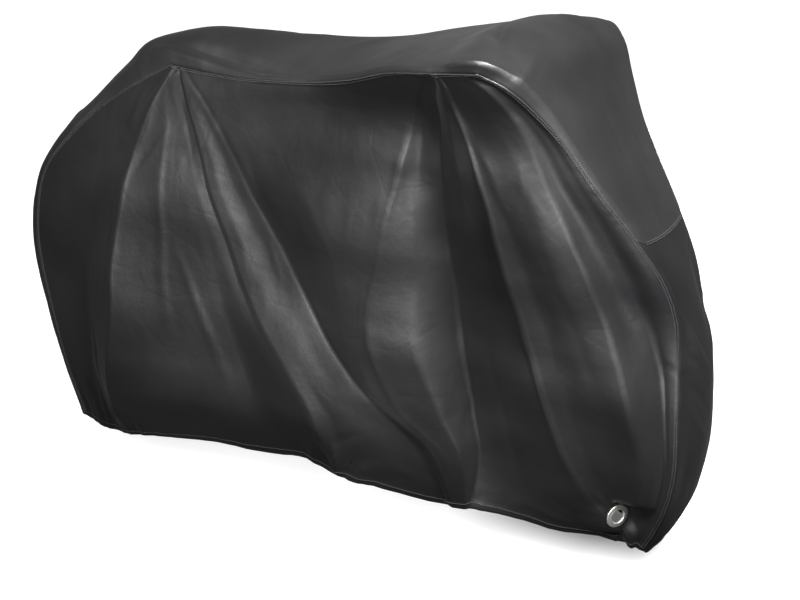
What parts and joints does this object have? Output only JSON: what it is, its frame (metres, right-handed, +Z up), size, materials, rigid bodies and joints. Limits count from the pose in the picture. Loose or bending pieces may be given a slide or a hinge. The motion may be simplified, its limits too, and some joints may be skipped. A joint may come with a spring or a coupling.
{
  "type": "bicycle cover",
  "caption": "Fitted cover for one bicycle, draped to its form: side panels sewn to a centre gusset, elastic hem below and metal eyelets for a lock by the front wheel.",
  "frame": {"origin": "underside of the cover's top, over the middle of the bicycle; the floor under the bicycle is 1.060 m lower", "axes": "+X towards the bicycle's front wheel, +Y to the bicycle's left (the far side), +Z up"},
  "size_m": [1.7009, 0.6462, 1.0521],
  "materials": {
    "side_cloth": "satin black coated polyester",
    "gusset_cloth": "satin black coated polyester",
    "nickel": "nickel plate"
  },
  "bodies": {
    "root": {"side_near": "side_cloth", "side_far": "side_cloth", "gusset_centre": "gusset_cloth", "gusset_front": "gusset_cloth", "eyelet_near": "nickel", "eyelet_far": "nickel"}
  },
  "joints": []
}
